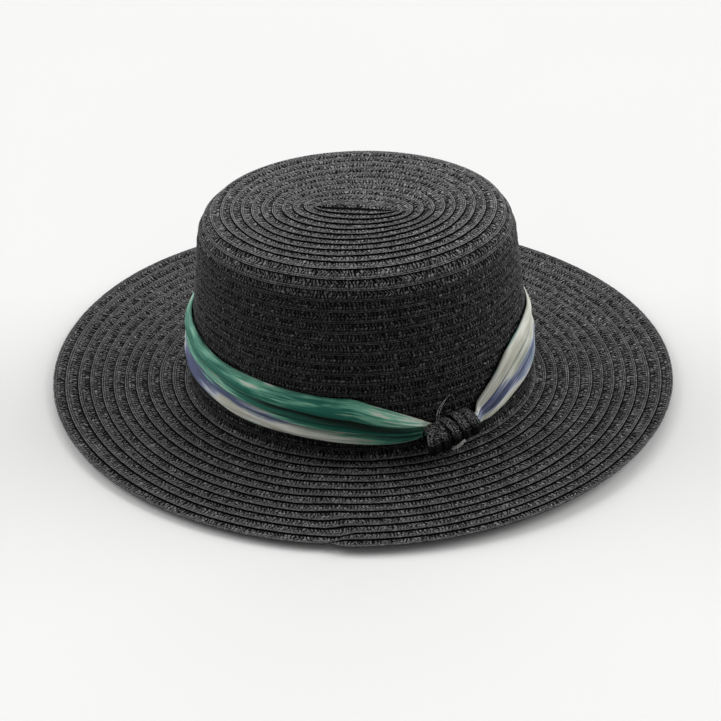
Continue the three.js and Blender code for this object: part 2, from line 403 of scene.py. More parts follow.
def hat_surface(distance, angle, lift):
    """A place on the straw's mean surface, lifted square to it."""
    along, radii, heights, out, up = OUTLINE
    radius = np.interp(distance, along, radii) + lift * np.interp(distance, along, out)
    height = np.interp(distance, along, heights) + lift * np.interp(distance, along, up)
    warp = BRIM_WARP * brim_reach(radius) ** 2 * np.cos(2 * (angle - WARP_ANGLE))
    return seat(oval(radius, angle, height + warp))


def row_edge(turn):
    """How far along the outline the braid's outer edge lies after so many turns."""
    tip = FIRST_TURN + TIP_ROW * TIP_TURNS
    side = tip + SIDE_ROW * SIDE_TURNS
    turns = (START_TURN, 0, TIP_TURNS, TIP_TURNS + SIDE_TURNS, BASE_TURN, LAST_TURN)
    edges = (FIRST_TURN, FIRST_TURN, tip, side, BRIM_START + BRIM_ROW, BRIM_END)
    edge = np.interp(turn, turns, edges)
    out = edge - BRIM_START
    place = np.interp(out, [0, 40, 60], [STEP_TURN, STEP_TURN, LAST_STEP])
    past = np.mod(turn - place - 0.003 * np.sin(2.4 * edge), 1)
    step = ease(0, np.interp(out, [0, 40, 60], [0.05, 0.03, 0.013]), past) - past
    reach = np.interp(out, [0, 15, 47, 62, 70], [0, 0.2, 0.42, 0.45, 0.68])
    angle = 2 * math.pi * turn
    waver = np.sin(2 * angle + 0.11 * edge) + 0.7 * np.sin(5 * angle + 1.3 + 0.17 * edge)
    waver = waver + 0.5 * np.sin(9 * angle + 0.4 * edge)
    calm = ease(FIRST_TURN, 40, edge) * (1 - 0.6 * ease(BRIM_END - 9, BRIM_END, edge))
    # The last of the braid slips in under the row before it.
    tuck = 11 * (1 - ease(0, 0.02, END_TURN - turn))
    return edge + reach * BRIM_ROW * step + 0.24 * calm * waver - tuck


def row_angle(turn):
    return -math.pi / 2 - 2 * math.pi * turn


# ---- Meshes ----


def shape_grid(name, points, flat, closed=False, capped=False):
    """A grid laid through points[along, across] in millimetres, with flat as its UV map.

    A closed one is welded along its length, and a capped one also has its two ends filled."""
    count, across = points.shape[:2]
    work = bmesh.new()
    bmesh.ops.create_grid(work, x_segments=across - 1, y_segments=count - 1, size=1)
    layer = work.loops.layers.uv.new("flat")
    places = (points.reshape(-1, 3) * MM).tolist()
    spots = flat.reshape(-1, 2).tolist()
    for vert, place in zip(work.verts, places):
        vert.co = place
    for face in work.faces:
        face.smooth = True
        for loop in face.loops:
            loop[layer].uv = spots[loop.vert.index]
    if closed:
        bmesh.ops.remove_doubles(work, verts=work.verts, dist=1e-7)
    if capped:
        rims = [edge for edge in work.edges if edge.is_boundary]
        bmesh.ops.edgeloop_fill(work, edges=rims)
    mesh = bpy.data.meshes.new(name)
    work.to_mesh(mesh)
    work.free()
    piece = bpy.data.objects.new(name, mesh)
    bpy.context.scene.collection.objects.link(piece)
    return piece


def braid_stations(first, last, spacing):
    """Turns evenly spaced along the braid's length."""
    turns = np.linspace(first, last, int((last - first) * 720) + 2)
    middle = hat_surface(row_edge(turns) - BRAID_WIDTH / 3, row_angle(turns), 0)
    length = np.concatenate([[0], np.cumsum(np.linalg.norm(np.diff(middle, axis=0), axis=1))])
    count = 2 * round(length[-1] / spacing / 2) + 1
    return np.interp(np.linspace(0, length[-1], count), length, turns), length[-1]


def braid_piece(name, first, last, settings, seed):
    """One length of the sewn braid: a flat plait whose outer edge lies on the next row."""
    rng = np.random.default_rng(seed)
    spacing = settings.stroke / MM / 2
    turns, length = braid_stations(first, last, spacing)
    inset, slant, strength, rise = (np.array(column) for column in zip(*BRAID_TOP))
    # Two places on the underside close the section.
    under = np.array([5.0, 0.5])
    inset = np.concatenate([[0], inset, under, [0]])
    slant = np.concatenate([[0], slant, [0.2, 0.2], [0]])
    strength = np.concatenate([[0], strength, [0, 0], [0]])
    rise = np.concatenate([[-BRAID_WALL / 2], rise, -BRAID_WALL + 0 * under, [-BRAID_WALL / 2]])
    edge = row_edge(turns)[:, None]
    girth = 2 * math.pi * np.maximum(20, np.interp(edge, OUTLINE[0], OUTLINE[1]))
    # No two strokes lean quite alike.
    strokes = len(turns) // 2 + 1
    sway = rng.uniform(-0.34, 0.34, (strokes, 1)).repeat(2, axis=0)[: len(turns)] * (inset - 3.5) / 2.5
    sway = sway + rng.uniform(-0.16, 0.16, turns.shape)[:, None] + 0 * inset
    sway[:, -1] = sway[:, 0]
    turn = np.clip(turns[:, None] + (slant + sway) / girth, first, last)
    turn[0], turn[-1] = first, last
    edge = row_edge(turn)
    pitch = edge - np.maximum(row_edge(turn - 1), SLIT_RADIUS)
    pitch = np.where(turn < 0.25, FIRST_TURN - SLIT_RADIUS, np.clip(pitch, 4.6, 9))
    width = np.minimum(np.clip(pitch + BRAID_LAP, 7, 9.6), edge - SLIT_RADIUS - 0.05)
    tail = ease(0, 0.014, END_TURN - turn)
    lift = ROW_HIGH - (ROW_HIGH - ROW_LOW) * inset / BRAID_WIDTH * width / pitch
    ripple = np.where(np.arange(len(turns)) % 2, 1.0, -1.0)[:, None]
    uneven = rng.uniform(0.55, 1.3, turn.shape)
    loose = rng.normal(0, 0.05, (len(turns) // 3 + 2, len(inset)))
    loose = np.repeat(loose, 3, axis=0)[: len(turns)]
    loose[:, -1] = loose[:, 0]
    lift = lift + rise + strength * settings.relief / MM * ripple * uneven + np.abs(strength) * loose
    lift = lift - 0.7 * (1 - tail)
    ragged = np.where(inset < 0.7, rng.uniform(-0.2, 0.1, turn.shape), 0)
    ragged[:, -1] = ragged[:, 0]
    points = hat_surface(edge + ragged - inset * width / BRAID_WIDTH, row_angle(turn), lift)
    points[:, -1] = points[:, 0]
    along = np.linspace(0, length, len(turns))[:, None] + 0 * inset
    flat = np.stack([along, inset + 0 * along], axis=-1)
    return shape_grid(name, points, flat, closed=True, capped=True)


def knot_frame():
    radius = wall_radius(KNOT_HEIGHT) + KNOT_STANDOFF
    centre = seat(oval(radius, KNOT_ANGLE, KNOT_HEIGHT))
    axis = np.array(
        [
            -(radius + OVAL_SPREAD) * math.sin(KNOT_ANGLE),
            (radius - OVAL_SPREAD) * math.cos(KNOT_ANGLE),
            0,
        ]
    )
    reach = np.linalg.norm(axis)
    axis /= reach
    return centre, axis, np.array([axis[1], -axis[0], 0]), reach


def wall_radius(height):
    share = (height - FLARE_HEIGHT) / (TIP_HEIGHT - SHOULDER_DROP - FLARE_HEIGHT)
    return FLARE_RADIUS + share * (SHOULDER_RADIUS - FLARE_RADIUS)


def draped_band(turn, share, lift):
    low, high, belly = course(BAND_COURSE, turn)
    height = low + (high - low) * share
    swell = np.maximum(0, belly * np.sin(math.pi * (0.2 + 0.72 * np.clip(share, 0, 1))))
    out = wall_radius(height) + 1.9 + swell + lift
    return seat(oval(out, KNOT_ANGLE + np.radians(turn), height))


def bundled_band(turn, share, lift):
    """The cloth drawn together, as it goes through the knot and a little nearer the crown outside it."""
    centre, axis, outward, reach = knot_frame()
    away = np.radians(np.where(turn > 180, turn - 360, turn))[..., None]
    around = (math.pi * 1.25 * (share - 0.5))[..., None]
    spread = np.where(away > 0, 4.3, 3.6) + 0.7 * lift[..., None]
    up = np.array([0, 0, 1.0])
    across = spread * (np.cos(around) * outward + np.sin(around) * up)
    closer = np.where(away > 0, 1.2, 3.2) * ease(4, 9, np.abs(np.degrees(away)))
    return centre + reach * away * axis + across - closer * outward + (closer - 1.6) * 0.2 * up


def spots_at(spots, turn, across):
    amount = 0 * turn
    for spot_turn, spot_across, wide, tall, strength in spots:
        gap = np.mod(turn - spot_turn + 180, 360) - 180
        amount = amount + strength * np.exp(-((gap / wide) ** 2) - ((across - spot_across) / tall) ** 2)
    return amount


# ---- Materials ----


def linear(hex_colour):
    """An sRGB hex value as the linear colour that Blender works in."""
    value = hex_colour.lstrip("#")
    parts = [int(value[i : i + 2], 16) / 255 for i in (0, 2, 4)]
    return tuple(c / 12.92 if c <= 0.04045 else ((c + 0.055) / 1.055) ** 2.4 for c in parts) + (1,)


def add(tree, kind, settings=None, inputs=None):
    """Adds a node with its settings; an input is a number, a colour or the socket it comes from."""
    node = tree.nodes.new(kind)
    for name, value in (settings or {}).items():
        setattr(node, name, value)
    for name, value in (inputs or {}).items():
        if isinstance(value, bpy.types.NodeSocket):
            tree.links.new(value, node.inputs[name])
        else:
            node.inputs[name].default_value = value
    return node


def new_material(name):
    material = bpy.data.materials.new(name)
    material.use_nodes = True
    tree = material.node_tree
    tree.nodes.clear()
    shader = tree.nodes.new("ShaderNodeBsdfPrincipled")
    output = tree.nodes.new("ShaderNodeOutputMaterial")
    tree.links.new(shader.outputs[0], output.inputs[0])
    return material, tree, shader


def braided_straw(settings, name, gloss=0.0, painted_light_range=(0.115, 0.9), grain=0.3, fine=(1.5, 0.8, 1)):
    """Black paper straw, plaited flat and sewn, with a waxy shine; the deep black between strands is painted
    shade.
    """
    material, tree, shader = new_material(name)
    calc = "ShaderNodeMath"
    flat = add(tree, "ShaderNodeUVMap", {"uv_map": "flat"}).outputs[0]
    split = add(tree, "ShaderNodeSeparateXYZ", None, {0: flat})
    along, across = split.outputs[0], split.outputs[1]
    # The strokes crowd together in places and spread in others.
    slow = add(tree, "ShaderNodeVectorMath", {"operation": "MULTIPLY"}, {0: flat, 1: (0.2, 0.35, 1)})
    drift = add(
        tree,
        "ShaderNodeTexNoise",
        {"noise_dimensions": "2D"},
        {"Vector": slow.outputs[0], "Scale": 1.0, "Detail": 1.0},
    ).outputs[0]
    drift = add(tree, calc, {"operation": "MULTIPLY"}, {0: drift, 1: 1.8}).outputs[0]
    count = add(
        tree, calc, {"operation": "MULTIPLY_ADD"}, {0: along, 1: MM / settings.stroke, 2: drift}
    ).outputs[0]
    from_edge = {0: across, 1: 1 / COLUMN_WIDTH, 2: -COLUMN_INSET / COLUMN_WIDTH}
    columns = add(tree, calc, {"operation": "MULTIPLY_ADD"}, from_edge).outputs[0]
    column = add(tree, calc, {"operation": "FLOOR"}, {0: columns}).outputs[0]
    whole = add(tree, calc, {"operation": "FLOOR"}, {0: count}).outputs[0]
    cell = add(tree, "ShaderNodeCombineXYZ", None, {0: whole, 1: column}).outputs[0]
    luck = add(tree, "ShaderNodeTexWhiteNoise", {"noise_dimensions": "2D"}, {"Vector": cell})
    chance = luck.outputs["Value"]
    lean = add(tree, "ShaderNodeSeparateColor", None, {0: luck.outputs["Color"]}).outputs
    share = add(tree, calc, {"operation": "DIVIDE"}, {0: across, 1: BRAID_WIDTH}).outputs[0]
    openness_and_shade = add(tree, "ShaderNodeValToRGB", None, {0: share})
    stops = openness_and_shade.color_ramp.elements
    stops[0].position, stops[0].color = 0.0, (0.3, 0.8, 0.1, 1)
    stops[1].position, stops[1].color = 1.0, (0.1, 0.0, 0.5, 1)
    for inset, *amounts in OPEN_STRAW_AND_SHADE:
        stops.new(inset / BRAID_WIDTH).color = (*amounts, 1)
    unshaded_share, cord, shade_pocket = add(tree, "ShaderNodeSeparateColor", None, {0: openness_and_shade.outputs[0]}).outputs
    # Each strand is round across its stroke, between pockets of painted shade of uneven width.
    inside = add(tree, calc, {"operation": "FRACT"}, {0: count}).outputs[0]
    inside = add(tree, calc, {"operation": "SUBTRACT"}, {0: inside, 1: 0.5}).outputs[0]
    away = add(tree, calc, {"operation": "ABSOLUTE"}, {0: inside}).outputs[0]
    uneven = add(tree, calc, {"operation": "MULTIPLY_ADD"}, {0: lean[2], 1: 0.4, 2: 0.1}).outputs[0]
    past = add(tree, calc, {"operation": "MULTIPLY_ADD"}, {0: shade_pocket, 1: uneven, 2: away}).outputs[0]
    strand = add(
        tree,
        "ShaderNodeMapRange",
        {"interpolation_type": "SMOOTHSTEP"},
        {"Value": past, "From Min": 0.53, "From Max": 0.33, "To Min": 0.04},
    ).outputs[0]
    firm = add(tree, calc, {"operation": "MAXIMUM"}, {0: strand, 1: cord}).outputs[0]
    unshaded_strand = add(tree, calc, {"operation": "MULTIPLY"}, {0: firm, 1: unshaded_share}).outputs[0]
    # Paper fibres 0.3 mm apart are drawn 0.7 mm apart, the finest that shows.
    rows = add(tree, "ShaderNodeVectorMath", {"operation": "MULTIPLY"}, {0: flat, 1: fine})
    fibre = add(
        tree,
        "ShaderNodeTexNoise",
        {"noise_dimensions": "2D"},
        {"Vector": rows.outputs[0], "Scale": 1.0, "Detail": 2.0, "Roughness": 0.6},
    ).outputs[0]
    patch = add(
        tree,
        "ShaderNodeTexNoise",
        {"noise_dimensions": "2D"},
        {"Vector": flat, "Scale": 0.22, "Detail": 2.0},
    ).outputs[0]
    # Every strand takes the dye differently, and a few are painted pale: partly wear, partly painted glints.
    worn_and_glinting = add(tree, calc, {"operation": "POWER"}, {0: chance, 1: 4.0}).outputs[0]
    tone = add(tree, calc, {"operation": "MULTIPLY"}, {0: worn_and_glinting, 1: 0.2}).outputs[0]
    own = add(tree, calc, {"operation": "MULTIPLY_ADD"}, {0: cord, 1: -0.22, 2: 0.22}).outputs[0]
    tone = add(tree, calc, {"operation": "MULTIPLY_ADD"}, {0: chance, 1: own, 2: tone}).outputs[0]
    # The firm cords are painted lighter, partly worn paler, partly a painted highlight along each row's edge.
    tone = add(tree, calc, {"operation": "MULTIPLY_ADD"}, {0: cord, 1: 0.22, 2: tone}).outputs[0]
    tone = add(tree, calc, {"operation": "MULTIPLY_ADD"}, {0: patch, 1: 0.1, 2: tone}).outputs[0]
    tone = add(
        tree, calc, {"operation": "MULTIPLY_ADD"}, {0: fibre, 1: 1.1 + 0.7 * grain, 2: tone}
    ).outputs[0]
    tone = add(
        tree, calc, {"operation": "MULTIPLY_ADD"}, {0: tone, 1: 1.6, 2: -0.58 - 0.64 * grain}
    ).outputs[0]
    # Painted shade: the tone is darkened to black in the gaps, pockets and grooves between strands.
    tone = add(tree, calc, {"operation": "MULTIPLY"}, {0: tone, 1: unshaded_strand}).outputs[0]
    # Painted light: straw that faces up is painted lighter, and the sides are painted near black as if in
    # shade.
    facing = add(tree, "ShaderNodeNewGeometry").outputs["Normal"]
    facing = add(tree, "ShaderNodeSeparateXYZ", None, {0: facing}).outputs[2]
    painted_top_light = add(
        tree,
        "ShaderNodeMapRange",
        {"interpolation_type": "SMOOTHSTEP"},
        {"Value": facing, "From Min": 0.05, "From Max": 0.95, "To Min": painted_light_range[0], "To Max": painted_light_range[1]},
    ).outputs[0]
    tone = add(tree, calc, {"operation": "MULTIPLY"}, {0: tone, 1: painted_top_light}).outputs[0]
    ramp = add(tree, "ShaderNodeValToRGB", None, {0: tone})
    stops = ramp.color_ramp.elements
    stops[0].position, stops[0].color = 0.02, linear(settings.dark)
    stops[1].position, stops[1].color = 0.9, linear(settings.light)
    tree.links.new(ramp.outputs[0], shader.inputs["Base Color"])
    rough = add(tree, calc, {"operation": "MULTIPLY_ADD"}, {0: unshaded_strand, 1: -0.45, 2: 0.85 - gloss}).outputs[0]
    rough = add(tree, calc, {"operation": "MULTIPLY_ADD"}, {0: chance, 1: -0.12, 2: rough}).outputs[0]
    tree.links.new(rough, shader.inputs["Roughness"])
    shader.inputs["IOR"].default_value = 1.5
    shader.inputs["Specular IOR Level"].default_value = 0.12 + 0.9 * gloss
    # Relief in millimetres, so the bump's distance is one millimetre. No two strands lie quite level.
    tilt = add(tree, calc, {"operation": "SUBTRACT"}, {0: lean[0], 1: 0.5}).outputs[0]
    tilt = add(tree, calc, {"operation": "MULTIPLY"}, {0: tilt, 1: inside}).outputs[0]
    height = add(tree, calc, {"operation": "MULTIPLY"}, {0: unshaded_strand, 1: 0.45}).outputs[0]
    height = add(tree, calc, {"operation": "MULTIPLY_ADD"}, {0: tilt, 1: 0.9, 2: height}).outputs[0]
    pitch = add(tree, calc, {"operation": "FRACT"}, {0: columns}).outputs[0]
    tip = add(tree, calc, {"operation": "SUBTRACT"}, {0: lean[1], 1: 0.5}).outputs[0]
    tip = add(tree, calc, {"operation": "MULTIPLY"}, {0: tip, 1: pitch}).outputs[0]
    loose = add(tree, calc, {"operation": "MULTIPLY_ADD"}, {0: cord, 1: -1.1, 2: 1.3}).outputs[0]
    height = add(tree, calc, {"operation": "MULTIPLY_ADD"}, {0: tip, 1: loose, 2: height}).outputs[0]
    height = add(tree, calc, {"operation": "MULTIPLY_ADD"}, {0: fibre, 1: grain, 2: height}).outputs[0]
    bump = add(tree, "ShaderNodeBump", None, {"Strength": 1.0, "Distance": MM, "Height": height})
    tree.links.new(bump.outputs[0], shader.inputs["Normal"])
    return material


def tie_dyed_cloth(settings):
    """Light crepe, dipped and tied: the dyes run along the folds and bleed into the cream ground."""
    material, tree, shader = new_material("tie_dyed_crepe")
    calc = "ShaderNodeMath"
    flat = add(tree, "ShaderNodeUVMap", {"uv_map": "flat"}).outputs[0]
    # The attribute holds the teal and indigo dyes and the painted crease shade.
    dye = add(tree, "ShaderNodeAttribute", {"attribute_name": "dye"})
    amounts = add(tree, "ShaderNodeSeparateColor", None, {0: dye.outputs["Color"]})
    teal, indigo, crease_shade_and_dye = amounts.outputs
    drawn = add(tree, "ShaderNodeVectorMath", {"operation": "MULTIPLY"}, {0: flat, 1: (0.035, 0.45, 1)})
    bleed = add(
        tree,
        "ShaderNodeTexNoise",
        {"noise_dimensions": "2D"},
        {"Vector": drawn.outputs[0], "Scale": 1.0, "Detail": 3.0, "Roughness": 0.6},
    ).outputs[0]
    drift = add(tree, "ShaderNodeVectorMath", {"operation": "MULTIPLY"}, {0: flat, 1: (0.03, 0.11, 1)})
    blot = add(
        tree,
        "ShaderNodeTexNoise",
        {"noise_dimensions": "2D"},
        {"Vector": drift.outputs[0], "Scale": 1.0, "Detail": 3.0},
    ).outputs[0]
    shift = add(tree, calc, {"operation": "ADD"}, {0: bleed, 1: blot}).outputs[0]
    shift = add(tree, calc, {"operation": "SUBTRACT"}, {0: shift, 1: 1.0}).outputs[0]
    # The dyes run down into the creases, large and fine, and leave the ridges paler; the paler ridges are
    # also a painted sheen highlight.
    fine = add(tree, "ShaderNodeVectorMath", {"operation": "MULTIPLY"}, {0: flat, 1: (0.05, 0.8, 1)})
    streak = add(
        tree,
        "ShaderNodeTexNoise",
        {"noise_dimensions": "2D"},
        {"Vector": fine.outputs[0], "Scale": 1.0, "Detail": 2.0, "Roughness": 0.6},
    ).outputs[0]
    settled_and_ridge_sheen = add(tree, calc, {"operation": "MULTIPLY_ADD"}, {0: crease_shade_and_dye, 1: 0.4, 2: -0.9}).outputs[0]
    settled_and_ridge_sheen = add(tree, calc, {"operation": "MULTIPLY_ADD"}, {0: streak, 1: 1.5, 2: settled_and_ridge_sheen}).outputs[0]
    taken = []
    for amount in (teal, indigo):
        spread = add(tree, calc, {"operation": "MULTIPLY_ADD"}, {0: shift, 1: 1.1, 2: amount}).outputs[0]
        spread = add(tree, calc, {"operation": "MULTIPLY_ADD"}, {0: settled_and_ridge_sheen, 1: amount, 2: spread}).outputs[0]
        mask = add(
            tree,
            "ShaderNodeMapRange",
            {"interpolation_type": "SMOOTHSTEP"},
            {"Value": spread, "From Min": 0.2, "From Max": 0.5},
        )
        taken.append((mask.outputs[0], spread))
    colours = []
    for pale, deep, spread in (
        (settings.teal_pale, settings.teal_deep, taken[0][1]),
        (settings.indigo_pale, settings.indigo_deep, taken[1][1]),
    ):
        ramp = add(tree, "ShaderNodeValToRGB", None, {0: spread})
        stops = ramp.color_ramp.elements
        stops[0].position, stops[0].color = 0.3, linear(pale)
        stops[1].position, stops[1].color = 1.0, linear(deep)
        colours.append(ramp.outputs[0])
    ground = add(tree, "ShaderNodeValToRGB", None, {0: blot})
    stops = ground.color_ramp.elements
    stops[0].position, stops[0].color = 0.35, linear(settings.cream_shade)
    stops[1].position, stops[1].color = 0.65, linear(settings.cream)
    mixed = ground.outputs[0]
    for (mask, _), colour in zip(reversed(taken), reversed(colours)):
        mixer = add(tree, "ShaderNodeMix", {"data_type": "RGBA"}, {0: mask, 6: mixed, 7: colour})
        mixed = mixer.outputs[2]
    # Painted shade: the colour is darkened in the creases, where the cloth lies double.
    painted_crease_shade = add(tree, calc, {"operation": "POWER"}, {0: crease_shade_and_dye, 1: 1.8}).outputs[0]
    crease_shaded = add(
        tree,
        "ShaderNodeMix",
        {"data_type": "RGBA", "blend_type": "MULTIPLY"},
        {0: painted_crease_shade, 6: mixed, 7: linear("#3f6a5e")},
    )
    tree.links.new(crease_shaded.outputs[2], shader.inputs["Base Color"])
    shader.inputs["Roughness"].default_value = 0.62
    shader.inputs["Sheen Weight"].default_value = 0.12
    shader.inputs["Sheen Roughness"].default_value = 0.4
    shader.inputs["Specular IOR Level"].default_value = 0.35
    # Crepe yarns 0.35 mm apart are drawn 0.7 mm apart, the finest that shows.
    yarns = add(tree, "ShaderNodeVectorMath", {"operation": "MULTIPLY"}, {0: flat, 1: (1.43, 1.43, 1)})
    weave = add(
        tree,
        "ShaderNodeTexVoronoi",
        {"voronoi_dimensions": "2D"},
        {"Vector": yarns.outputs[0], "Scale": 1.0},
    ).outputs[0]
    creases = add(tree, "ShaderNodeVectorMath", {"operation": "MULTIPLY"}, {0: flat, 1: (0.03, 0.3, 1)})
    crease = add(
        tree,
        "ShaderNodeTexNoise",
        {"noise_dimensions": "2D"},
        {"Vector": creases.outputs[0], "Scale": 1.0, "Detail": 4.0, "Roughness": 0.6},
    ).outputs[0]
    height = add(tree, calc, {"operation": "MULTIPLY"}, {0: weave, 1: 0.06}).outputs[0]
    height = add(tree, calc, {"operation": "MULTIPLY_ADD"}, {0: crease, 1: 1.1, 2: height}).outputs[0]
    height = add(tree, calc, {"operation": "MULTIPLY_ADD"}, {0: streak, 1: 0.2, 2: height}).outputs[0]
    bump = add(tree, "ShaderNodeBump", None, {"Strength": 0.7, "Distance": MM, "Height": height})
    tree.links.new(bump.outputs[0], shader.inputs["Normal"])
    return material


def loose_fibre():
    """A bare paper strand end, paler where the dye has worn off."""
    material, tree, shader = new_material("bare_paper_strand")
    place = add(tree, "ShaderNodeTexCoord").outputs["Object"]
    grain = add(tree, "ShaderNodeTexNoise", None, {"Vector": place, "Scale": 900.0, "Detail": 2.0}).outputs[0]
    ramp = add(tree, "ShaderNodeValToRGB", None, {0: grain})
    stops = ramp.color_ramp.elements
    stops[0].position, stops[0].color = 0.3, linear("#8f8e8a")
    stops[1].position, stops[1].color = 0.7, linear("#e6e5e0")
    tree.links.new(ramp.outputs[0], shader.inputs["Base Color"])
    shader.inputs["Roughness"].default_value = 0.45
    return material


def pale_floor():
    """A sheet of studio paper, nearly white and quite matt."""
    material, tree, shader = new_material("studio_paper")
    place = add(tree, "ShaderNodeTexCoord").outputs["Object"]
    grain = add(tree, "ShaderNodeTexNoise", None, {"Vector": place, "Scale": 3.0, "Detail": 2.0}).outputs[0]
    ramp = add(tree, "ShaderNodeValToRGB", None, {0: grain})
    stops = ramp.color_ramp.elements
    stops[0].color = linear("#f3f3f2")
    stops[1].color = linear("#f6f6f5")
    tree.links.new(ramp.outputs[0], shader.inputs["Base Color"])
    shader.inputs["Roughness"].default_value = 0.9
    shader.inputs["Specular IOR Level"].default_value = 0.1
    return material


# ---- Settings ----


class StrawSettings(bpy.types.PropertyGroup):
    stroke: bpy.props.FloatProperty(
        name="Stroke spacing", description="Distance between the plait's strokes", default=2.0 * MM,
        min=1.0 * MM, max=4 * MM, precision=5, unit="LENGTH",
    )
    relief: bpy.props.FloatProperty(
        name="Relief", description="Height of a stroke over the middle of the braid", default=0.12 * MM,
        min=0, max=0.4 * MM, precision=5, unit="LENGTH",
    )
    # The dark end also serves as painted shade in the grooves, gaps and sides, and the light end as painted
    # light on the tops.
    dark: bpy.props.StringProperty(
        name="Dark", description="Straw in the grooves, as sRGB hex",
        default="#020202",
    )
    light: bpy.props.StringProperty(
        name="Light", description="Straw on the crowns, as sRGB hex",
        default="#a2a2a3",
    )


class BandSettings(bpy.types.PropertyGroup):
    wall: bpy.props.FloatProperty(
        name="Cloth thickness", description="Thickness of the doubled crepe", default=0.5 * MM,
        min=0.2 * MM, max=1 * MM, precision=5, unit="LENGTH",
    )
    cream: bpy.props.StringProperty(name="Cream", description="Undyed cloth, as sRGB hex", default="#edede2")
    cream_shade: bpy.props.StringProperty(
        name="Cream shade", description="Greyer cream, as sRGB hex",
        default="#bdbdaf",
    )
    teal_pale: bpy.props.StringProperty(
        name="Pale teal", description="Thin teal dye, as sRGB hex",
        default="#80c4a9",
    )
    teal_deep: bpy.props.StringProperty(
        name="Deep teal", description="Strong teal dye, as sRGB hex",
        default="#0b6452",
    )
    indigo_pale: bpy.props.StringProperty(
        name="Pale indigo", description="Thin indigo dye, as sRGB hex",
        default="#a9b0c6",
    )
    indigo_deep: bpy.props.StringProperty(
        name="Deep indigo", description="Strong indigo dye, as sRGB hex",
        default="#4b5478",
    )


class KnotSettings(bpy.types.PropertyGroup):
    turns: bpy.props.IntProperty(
        name="Turns", description="Turns of braid wound on the knot",
        default=5, min=3, max=8,
    )
    strand: bpy.props.FloatProperty(
        name="Strand width", description="Width of a loose strand", default=0.9 * MM,
        min=0.3 * MM, max=2 * MM, precision=5, unit="LENGTH",
    )


class StageSettings(bpy.types.PropertyGroup):
    floor: bpy.props.FloatProperty(
        name="Floor radius", description="Radius of the pale floor",
        default=6.0, min=1, max=20, unit="LENGTH",
    )
    sky: bpy.props.FloatProperty(
        name="Room light", description="Strength of the light all round",
        default=0.23, min=0, max=3,
    )
    key: bpy.props.FloatProperty(
        name="Key light", description="Strength of the light from each side, in watts a square metre",
        default=1.9, min=0, max=20,
    )


# ---- Operators ----


def dress(piece, material, slot, *nodes):
    piece.data.materials.append(material)
    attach(piece, "root")
    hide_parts(*nodes)


class HAT_OT_crown(bpy.types.Operator):
    """Sew the crown from braid: the tip, the shoulder and the side"""

    bl_idname = "sunhat.crown"
    bl_label = "Crown"

    def execute(self, context):
        settings = context.scene.sunhat_straw
        material = braided_straw(settings, "braided_paper_straw")
        lengths = (
            ("crown_tip", START_TURN, TIP_END),
            ("crown_side", TIP_END, SIDE_END),
            ("crown_base", SIDE_END, CROWN_END),
        )
        for seed, (name, first, last) in enumerate(lengths):
            piece = braid_piece(name, first, last, settings, seed)
            dress(piece, material, "straw", "crown")
        return {"FINISHED"}


class HAT_OT_brim(bpy.types.Operator):
    """Sew the brim from the same braid, on to its edge"""

    bl_idname = "sunhat.brim"
    bl_label = "Brim"

    def execute(self, context):
        settings = context.scene.sunhat_straw
        # Painted shade: the crown shades the brim, so this copy of the straw is painted darker on top.
        material = braided_straw(settings, "braided_paper_straw_brim_painted_shade", painted_light_range=(0.1, 0.67))
        lengths = (("brim_inner", CROWN_END, INNER_END), ("brim_outer", INNER_END, END_TURN))
        for seed, (name, first, last) in enumerate(lengths):
            piece = braid_piece(name, first, last, settings, 10 + seed)
            dress(piece, material, "straw", "brim")
        return {"FINISHED"}


